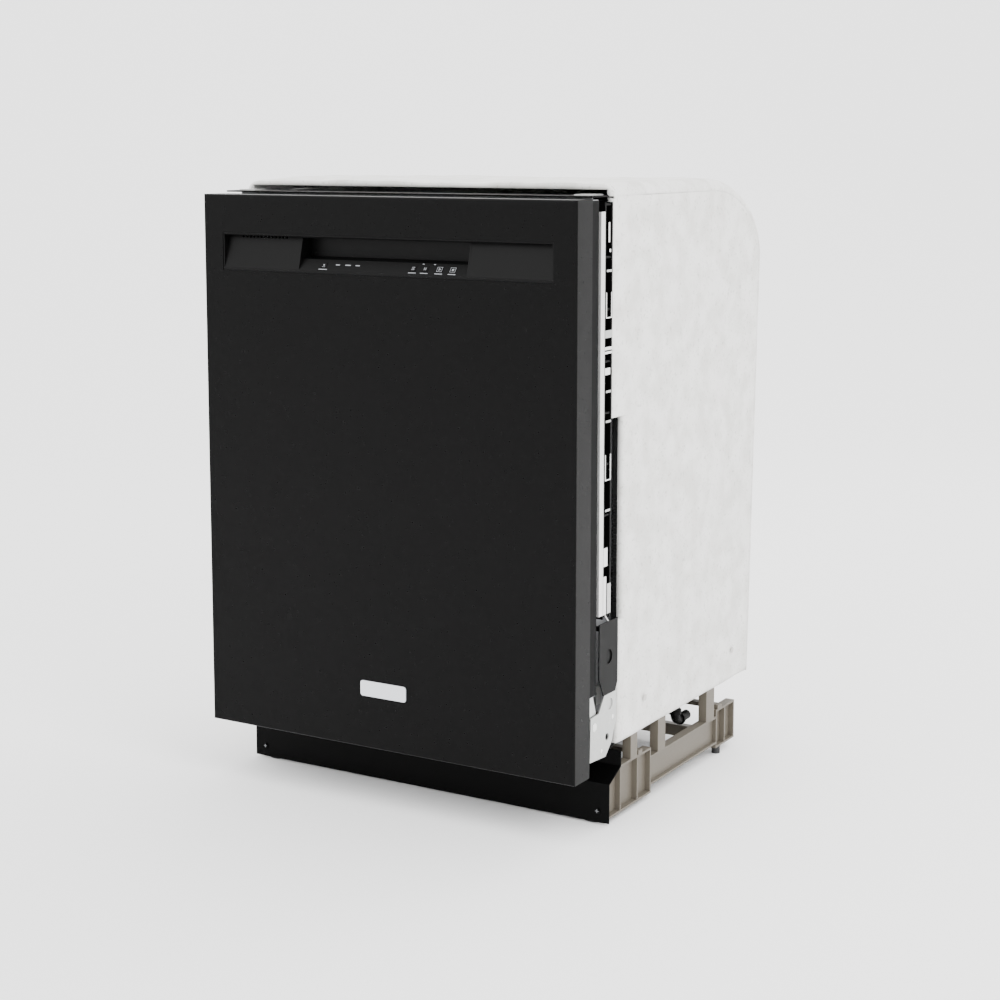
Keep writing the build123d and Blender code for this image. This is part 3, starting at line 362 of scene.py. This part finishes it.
def felt_side(side):
    """One side sheet of felt as a solid: outer and inner grids of stations in (distance behind, height)
    joined round the hem. Rows follow the height, columns go from the front hem to the rear edge, and
    each row's ends come from the hem outline and the section's rear line. The outer grid is pressed in
    by low waves so that the felt looks laid, not machined."""
    half, thick = 0.3024, 0.0098
    crest = FELT_BEND + (FELT_DROP - 20.0) / 1000
    close_rows = crest - 0.05 * np.linspace(0, 1, 30) ** 2
    heights = np.unique(np.concatenate([np.linspace(0.110, crest, 150), close_rows,
                                        [0.2839, 0.2841, 0.5639, 0.5641]]))
    cols = 90
    outer = np.zeros((len(heights), cols, 3))
    for i, h in enumerate(heights):
        front = side_front(h)
        if h < FELT_BEND:
            rear = 604.8 - 24.0 * (FELT_BEND - h) / (FELT_BEND - 0.110) - 20.0
        else:
            rear = float(np.interp(h, FELT_REAR[:, 1], FELT_REAR[:, 0]))
        u = np.linspace(0, 1, cols)
        r = front + (rear - front) * u
        y = (r + 1.2 - 303.0) / 1000.0
        hem = np.minimum(r - front, 14.0) / 14.0
        rear_hem = np.clip((rear - r) / 30.0, 0, 1) * min((crest - h) / 0.03, 1.0)
        low_hem = min((h - 0.110) / 0.012, 1.0)
        long_wave = (1 + np.sin(y * 19 + h * 8 + side)) * (0.5 + 0.5 * np.sin(h * 23 - y * 9 + 2 * side))
        wave = 0.0010 * long_wave * rear_hem
        wave = wave + 0.0009 * (1 + np.sin(y * 41 - h * 33 + 1.1)) * 0.5 * rear_hem
        press = 0.0018 * (1 - np.sqrt(np.clip(1 - (1 - hem) ** 2, 0, 1))) * min((crest - h) / 0.02, 1.0)
        press = press + 0.0018 * (1 - math.sqrt(max(0, 1 - (1 - low_hem) ** 2)))
        outer[i, :, 0] = side * (half - wave - press)
        outer[i, :, 1] = y
        outer[i, :, 2] = h
    for back_mm in (208.0, 506.8):
        d = np.hypot(outer[:, :, 1] - back(back_mm), outer[:, :, 2] - 0.155)
        outer[:, :, 0] -= side * 0.0022 * np.exp(-(d / 0.016) ** 2)
    inner = outer.copy()
    inner[:, :, 0] = side * (half - thick)
    rows = len(heights)
    n = rows * cols
    faces = [tuple(f) for f in grid_faces(rows, cols)]
    faces += [tuple(f[::-1]) for f in grid_faces(rows, cols, offset=n)]
    loop = hem_loop(rows, cols)
    for a, b in zip(loop, loop[1:] + loop[:1]):
        faces.append((b, a, a + n, b + n))
    if side < 0:
        faces = [f[::-1] for f in faces]
    return np.vstack([outer.reshape(-1, 3), inner.reshape(-1, 3)]), faces


def felt_cap():
    """The felt over the top and down the rear as a solid strip: rows follow the section line, columns go
    from the left shoulder over to the right one. The inner grid is the outer one moved in along the
    section's normal; the shoulder columns follow a quarter circle of 20 mm."""
    half, shoulder, thick = 0.3024, 0.020, 0.0098
    rear, low, top = 604.8, 0.110, FELT_TOP
    section = []
    for t in np.linspace(0, 1, 30):
        section.append((102.0 + 100.0 * t, top - 0.002 + 0.002 * t, 0.0, 1.0))
    for t in np.linspace(0, 1, 22)[1:]:
        section.append((202.0 + (rear - FELT_SLOPE - 202.0) * t, top - 0.0005 * t, 0.0, 1.0))
    for a in np.linspace(0, np.pi / 2, 34)[1:]:
        section.append(felt_bend(a))
    for t in np.linspace(0, 1, 80)[1:]:
        section.append((rear - 24.0 * t, FELT_BEND + (low - FELT_BEND) * t, 1.0, 0.0))
    section = np.array(section)
    y0, z0 = (section[:, 0] + 1.2 - 303.0) / 1000.0, section[:, 1]
    normal = section[:, 2:4]
    arc = np.linspace(0, np.pi / 2, 9)
    flat = np.linspace(-half + shoulder, half - shoulder, 72)[1:-1]
    edge = half - shoulder
    xs = np.concatenate([-edge - shoulder * np.cos(arc), flat, edge + shoulder * np.sin(arc)])
    drop = np.concatenate([shoulder * (1 - np.sin(arc)), np.zeros(70), shoulder * (1 - np.cos(arc))])
    x = np.broadcast_to(xs, (len(section), len(xs))).copy()
    calm = np.clip(1 - drop / 0.012, 0, 1)[None, :]
    y, z = y0[:, None], z0[:, None]
    wave = 0.0012 * (1 + np.sin(x * 19 + 0.6) * np.sin(y * 15 + z * 13)) * calm
    wave = wave + 0.0004 * (1 + np.sin(x * 71 + y * 57 + z * 43)) * calm
    wave = wave + 0.0016 * np.exp(-((section[:, 0:1] - 102.0) / 5.0) ** 2)
    total = drop[None, :] + wave
    outer = np.stack([x, y - normal[:, 0:1] * total, z - normal[:, 1:2] * total], -1)
    # inner grid: the same section moved in by the thickness, its shoulder ends meet the side sheets
    inner_x = np.clip(x, -half + thick, half - thick)
    inner_total = np.full_like(wave, thick)
    inner = np.stack([inner_x, y - normal[:, 0:1] * inner_total, z - normal[:, 1:2] * inner_total], -1)
    end = np.array([0, x.shape[1] - 1])
    both = np.ones((1, 2))
    inner[:, end, :] = np.stack([np.sign(x[:, end]) * (half - thick), (y - normal[:, 0:1] * shoulder) * both,
                                 (z - normal[:, 1:2] * shoulder) * both], -1)
    rows, cols = x.shape
    n = rows * cols
    faces = [tuple(f[::-1]) for f in grid_faces(rows, cols)]
    faces += [tuple(f) for f in grid_faces(rows, cols, offset=n)]
    loop = hem_loop(rows, cols)
    for a, b in zip(loop, loop[1:] + loop[:1]):
        faces.append((a, b, b + n, a + n))
    return np.vstack([outer.reshape(-1, 3), inner.reshape(-1, 3)]), faces


blanket = mesh_piece("felt_blanket", *joined([felt_side(1), felt_side(-1), felt_cap()]), MAT_FELT)
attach(blanket, "chassis")
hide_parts("insulation_blanket")

# ---------------------------------------------------------------- drain hose
HOSE_X = 0.284


def hose():
    """Hose along its real run: pump outlet, up the right side, across and down to the elbow. Between
    heights 302 and 446 mm the radius swings between 6.6 and 8 mm once every 4.6 mm (a half sine), the
    rest is smooth, with a cuff where the two meet."""
    run = [(0.132, back(155), 0.060), (HOSE_X, back(155), 0.060), (HOSE_X, back(155), 0.6984),
           (HOSE_X, back(345), 0.6984), (HOSE_X, back(345), 0.1005)]
    r = 0.080
    path = [run[0]]
    def arc(cx, cy, cz, a, b, start, stop):
        for t in np.linspace(start, stop, 22):
            turn = [r * (p * math.cos(t) + q * math.sin(t)) for p, q in zip(a, b)]
            path.append((cx + turn[0], cy + turn[1], cz + turn[2]))
    arc(HOSE_X - r, back(155), 0.060 + r, (0, 0, -1), (1, 0, 0), 0, np.pi / 2)
    for z in np.arange(0.142, 0.6184, 0.00046):
        path.append((HOSE_X, back(155), z))
    arc(HOSE_X, back(155) + r, 0.6984 - r, (0, -1, 0), (0, 0, 1), 0, np.pi / 2)
    arc(HOSE_X, back(345) - r, 0.6984 - r, (0, 0, 1), (0, 1, 0), 0, np.pi / 2)
    path.append((HOSE_X, back(345), 0.1005))
    path = np.array(path)
    up = np.abs(path[:, 1] - back(155)) < 1e-6
    z = path[:, 2]
    ribbed = up & (z > 0.302) & (z < 0.446)
    radii = np.full(len(path), 0.0074)
    radii[ribbed] = 0.0064 + 0.0015 * np.abs(np.sin(np.pi * (z[ribbed] - 0.302) / 0.0046))
    radii[up & (z > 0.288) & (z <= 0.302)] = 0.0079
    radii[up & (z >= 0.446) & (z < 0.452)] = 0.0079
    return tube(path, radii, 24)


hose_piece = mesh_piece("ribbed_hose", *hose(), MAT_RUBBER)
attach(hose_piece, "chassis")
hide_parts("drain_hose")

# ---------------------------------------------------------------- racks in bent wire
RACK_HALF, RACK_FRONT, RACK_BACK = 0.243, 92.0, 540.8


def rack_runs(floor, top, along, across):
    """Wire runs of one basket: long wires bent up at front and back, cross wires bent up at the sides,
    and two closed rims with rounded corners."""
    runs = []
    w = 0.002
    yf, yb = back(RACK_FRONT) + w, back(RACK_BACK) - w
    for x in np.linspace(-RACK_HALF + 0.026, RACK_HALF - 0.026, along):
        runs.append(rounded([(x, yf, top), (x, yf, floor), (x, yb, floor), (x, yb, top)], 0.012))
    for y in np.linspace(back(RACK_FRONT + 30), back(RACK_BACK - 30), across):
        e = RACK_HALF - w
        low = floor - 0.004
        runs.append(rounded([(-e, y, top), (-e, y, low), (e, y, low), (e, y, top)], 0.012))
    for z in (top, (top + floor) / 2):
        e = RACK_HALF - w - 0.0005
        ring = [(0, yf, z), (e, yf, z), (e, yb, z), (-e, yb, z), (-e, yf, z), (0, yf, z)]
        runs.append(rounded(ring, 0.018))
    return runs


def tines(xs, floor, tall):
    """Rows of tines that lean to one side, with one wire along the foot of each row."""
    runs = []
    ys = np.linspace(back(RACK_FRONT + 40), back(RACK_BACK - 40), 15)
    for x in xs:
        runs.append(np.array([(x, ys[0], floor + 0.004), (x, ys[-1], floor + 0.004)]))
        for y in ys:
            tip = [(x - 0.004, y, floor + tall * 0.6), (x - 0.012, y, floor + tall)]
            runs.append(rounded([(x, y, floor + 0.004), *tip], 0.01, 4))
    return runs


lower = rack_runs(0.198, 0.318, 19, 12) + tines((-0.19, -0.13, -0.06, 0.01), 0.198, 0.062)
wires("lower_rack_wire", lower, 0.0019, MAT_WIRE, "lower", ["lower_rack"])
UPPER_FLOOR = 0.53253
upper = rack_runs(UPPER_FLOOR, UPPER_FLOOR + 0.082, 17, 12) + tines((0.06, 0.12), UPPER_FLOOR, 0.048)
wires("upper_rack_wire", upper, 0.0017, MAT_WIRE, "upper")
side_plates = []
for s in (1, -1):
    xs = sorted((s * 0.2432, s * 0.259))
    low, high = UPPER_FLOOR + 0.026, UPPER_FLOOR + 0.042
    side_plates.append(slab((xs[0], back(112), low), (xs[1], back(480.8), high)))
plates = mesh_piece("upper_rack_guides", *joined(side_plates), MAT_LIGHT, smooth=False)
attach(plates, "upper")
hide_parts("upper_rack")

# ---------------------------------------------------------------- small marks on the console
SLOPE_A = (0.8, 753.0)
SLOPE_B = (12.0, 768.0)


def slope_mark(x0, x1, s0, s1, lift=0.00025):
    """Thin plate on the sloping face between two X values and two fractions up the slope, in mm."""
    n = np.array([0.0, -(SLOPE_B[1] - SLOPE_A[1]), SLOPE_B[0] - SLOPE_A[0]])
    n /= np.linalg.norm(n)
    pts = []
    for raise_by in (0.00002, lift):
        for s, x in ((s0, x0), (s0, x1), (s1, x1), (s1, x0)):
            r = SLOPE_A[0] + (SLOPE_B[0] - SLOPE_A[0]) * s
            z = SLOPE_A[1] + (SLOPE_B[1] - SLOPE_A[1]) * s
            pts.append(np.array([x / 1000, back(r), z / 1000]) + n * raise_by)
    faces = [(0, 3, 2, 1), (4, 5, 6, 7), (0, 1, 5, 4), (1, 2, 6, 5), (2, 3, 7, 6), (3, 0, 4, 7)]
    return pts, faces


marks = []
for x, w in ((-78, 7), (-62, 9), (-45, 7)):
    marks.append(slope_mark(x, x + w, 0.52, 0.60))
for x in (44, 63):
    marks.append(slope_mark(x, x + 12, 0.10, 0.16))
for x in (86, 107):
    marks.append(slope_mark(x, x + 12, 0.10, 0.16))
marks.append(slope_mark(-104, -90, 0.10, 0.16))
for x in (62, 80):
    marks.append(slope_mark(x, x + 3, 0.88, 0.94))
mark_piece = mesh_piece("console_marks", *joined(marks), MAT_MARK, smooth=False)
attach(mark_piece, "door")


def ring_plate(x, half_w, half_h, line):
    """Thin square outline on a button cap, in mm about the button's middle."""
    parts = []
    length = math.hypot(SLOPE_B[0] - SLOPE_A[0], SLOPE_B[1] - SLOPE_A[1])
    mid = 0.5
    top, low = mid + half_h / length, mid - half_h / length
    t = line / length
    lift = 0.00075
    parts.append(slope_mark(x - half_w, x + half_w, low, low + t, lift))
    parts.append(slope_mark(x - half_w, x + half_w, top - t, top, lift))
    parts.append(slope_mark(x - half_w, x - half_w + line, low + t, top - t, lift))
    parts.append(slope_mark(x + half_w - line, x + half_w, low + t, top - t, lift))
    return parts


def cap_marks(name, body, parts):
    piece = mesh_piece(name, *joined(parts), MAT_MARK, smooth=False)
    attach(piece, body)


def cap_bar(x, dx, s, w, h):
    """Short bar on a cap: centre offset, fraction up the slope, width and height in mm."""
    length = 18.72
    return slope_mark(x + dx - w / 2, x + dx + w / 2, s - h / 2 / length, s + h / 2 / length, 0.00075)


cap_marks("start_mark", "start_key", ring_plate(92, 4.2, 3.7, 0.45) + [
    cap_bar(92, dx, 0.5, 0.8, tall) for dx, tall in ((-1.0, 4.0), (0.4, 2.6), (1.7, 1.2))])
cap_marks("cancel_mark", "cancel_key", ring_plate(113, 4.2, 3.7, 0.45) + [cap_bar(113, 0, 0.5, 3.0, 3.0)])
cap_marks("option_left_mark", "option_left_key",
          [cap_bar(50, 0, s, wide, 0.6) for s, wide in ((0.6, 5.0), (0.5, 3.4), (0.4, 5.0))])
cap_marks("option_right_mark", "option_right_key",
          [cap_bar(69, dx, 0.5, 0.8, 4.0) for dx in (-1.2, 1.2)])
cap_marks("cycle_mark", "cycle_key", [cap_bar(-97, 0, 0.5, 2.2, 2.2), cap_bar(-97, 0, 0.34, 5.0, 0.5)])


# ---------------------------------------------------------------- details along the side frames
def side_slab(r0, r1, z0, z1, x0=0.30155, x1=0.3022, side=1):
    """Thin plate on the side, from two distances behind the door's face and two heights in mm."""
    xs = sorted((side * x0, side * x1))
    return slab((xs[0], back(min(r0, r1)), z0 / 1000), (xs[1], back(max(r0, r1)), z1 / 1000))


def outline(r0, r1, z0, z1, line, side=1):
    """Open-topped rectangular outline made of three thin plates."""
    return [side_slab(r0, r0 + line, z0, z1, side=side), side_slab(r1 - line, r1, z0, z1, side=side),
            side_slab(r0 + line, r1 - line, z0, z0 + line, side=side)]


pale, dull = [], []
for s in (1, -1):
    pale += [side_slab(89, 92, 799, 825, side=s), side_slab(92, 95, 786, 790, side=s),
             side_slab(80, 100, 652, 655, side=s), side_slab(80, 100, 657, 661, side=s),
             side_slab(81, 95, 624, 633, side=s), side_slab(80, 91, 366, 391, side=s),
             side_slab(80, 88, 300, 352, side=s)]
    pale += outline(83, 99, 699, 733, 1.4, s)
    pale += outline(83, 99, 482, 517, 1.4, s)
    dull += [side_slab(80.2, 100, 673, 683, side=s), side_slab(91, 101, 300, 341, side=s)]
    for z in (760, 600, 560, 440):
        dull.append(side_slab(84, 98, z, z + 3, side=s))
pale_piece = mesh_piece("frame_clips", *joined(pale), MAT_WHITE, smooth=False)
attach(pale_piece, "chassis")
dull_piece = mesh_piece("frame_plates", *joined(dull), MAT_ZINC, smooth=False)
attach(dull_piece, "chassis")

# black plate over the door liner's edge between the panel's return and the tub: painted shade for the dark
# gap there
edges = [side_slab(42.3, 63.0, 194, 854, x0=0.2999, x1=0.3009, side=s) for s in (1, -1)]
gap_shade_piece = mesh_piece("door_gap_painted_shade", *joined(edges), MAT_BLACK_METAL, smooth=False)
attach(gap_shade_piece, "door")

# white tie that holds the hose's cuff to the side frame
ties = []
for s in (1,):
    knot = (s * 0.3012, back(100), 0.2856)
    band = [(s * 0.3012, back(87), 0.2985), knot, (s * 0.3012, back(126), 0.281)]
    ties.append(tube(rounded(band, 0.004), 0.0008, 10))
    ties.append(tube([knot, (s * 0.3013, back(102), 0.277), (s * 0.3013, back(103), 0.2705)], 0.0008, 10))
tie_piece = mesh_piece("hose_tie", *joined(ties), MAT_WHITE)
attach(tie_piece, "chassis")


def disc(centre_r, centre_z, radius, x0, x1, side, sides=28):
    """Round head on the side: a short cylinder along X with a chamfered rim."""
    y, z = back(centre_r), centre_z / 1000
    path = [(side * x, y, z) for x in (x0, x0 + (x1 - x0) * 0.7, x1)]
    return tube(path, [radius / 1000, radius / 1000, radius / 1000 * 0.8], sides)


rivets = []
for s in (1, -1):
    rivets.append(disc(60, 150, 6.0, 0.3010, 0.3016, s))
    rivets.append(disc(112, 152, 3.4, 0.3010, 0.3016, s))
    rivets.append(disc(80, 112, 3.0, 0.3010, 0.3016, s))
rivet_piece = mesh_piece("hinge_rivets", *joined(rivets), MAT_STRIP)
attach(rivet_piece, "chassis")

# cross slots in the toe screws' heads, made as thin bright bars
slots = []
for s in (1, -1):
    x = s * 0.285
    slots.append(slab((x - 0.0026, back(98.2), 0.0186), (x + 0.0026, back(98.41), 0.0194)))
    slots.append(slab((x - 0.0004, back(98.2), 0.0164), (x + 0.0004, back(98.41), 0.0216)))
slot_piece = mesh_piece("screw_slots", *joined(slots), MAT_MARK, smooth=False)
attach(slot_piece, "chassis")

# ---------------------------------------------------------------- stage
floor_mesh, floor_tree, floor_shader = new_material("studio_paper", "#ffffff", 0.9, specular=0.1)
sweep_points = []
sweep_points += [(-6.0, 0.0), (3.0, 0.0)]
sweep_points += [(3.0 + 2.0 * math.sin(a), 2.0 - 2.0 * math.cos(a)) for a in np.linspace(0.1, np.pi / 2, 16)]
sweep_points.append((5.0, 7.0))
stage_points = []
for y, z in sweep_points:
    for x in (-9.0, 9.0):
        stage_points.append((x, y, z - 0.0002))
TURN = Matrix.Rotation(0.537, 3, "Z")
stage_points = [tuple(TURN @ Vector(p)) for p in stage_points]
floor = mesh_piece("studio_floor", stage_points, grid_faces(len(sweep_points), 2), floor_mesh)

world = bpy.data.worlds.new("studio")
bpy.context.scene.world = world
world.use_nodes = True
world.node_tree.nodes["Background"].inputs["Color"].default_value = (1, 1, 1, 1)
world.node_tree.nodes["Background"].inputs["Strength"].default_value = 2.6


def softbox(name, place, target, size, power):
    """Rectangular area light at one point aimed at another."""
    light = bpy.data.lights.new(name, "AREA")
    light.shape = "RECTANGLE"
    light.size, light.size_y = size
    light.energy = power
    lamp = bpy.data.objects.new(name, light)
    lamp.location = place
    lamp.rotation_euler = (Vector(target) - Vector(place)).to_track_quat("-Z", "Y").to_euler()
    bpy.context.collection.objects.link(lamp)
    return lamp


softbox("key_light", (2.6, -1.2, 2.6), (0.1, 0.1, 0.4), (1.6, 1.6), 60)
softbox("front_light", (-1.6, -3.2, 2.4), (0, 0, 0.5), (1.4, 1.8), 30)
softbox("rear_light", (0.8, 3.0, 2.6), (0, 0, 0.5), (2.0, 1.4), 40)

# ---------------------------------------------------------------- camera in front and to the right
azimuth, pitch = 0.53681, 0.1323
camera_data = bpy.data.cameras.new("camera")
camera_data.sensor_width = 36.0
camera_data.lens = 36.0 * 1.9375
camera_data.shift_y = -0.10
camera_data.clip_start = 0.05
camera_data.clip_end = 60.0
camera = bpy.data.objects.new("camera", camera_data)
level = math.cos(pitch)
forward = Vector((-math.sin(azimuth) * level, math.cos(azimuth) * level, -math.sin(pitch)))
camera.location = (1.48032, -2.47177, 0.92887)
camera.rotation_euler = forward.to_track_quat("-Z", "Y").to_euler()
bpy.context.collection.objects.link(camera)
bpy.context.scene.camera = camera
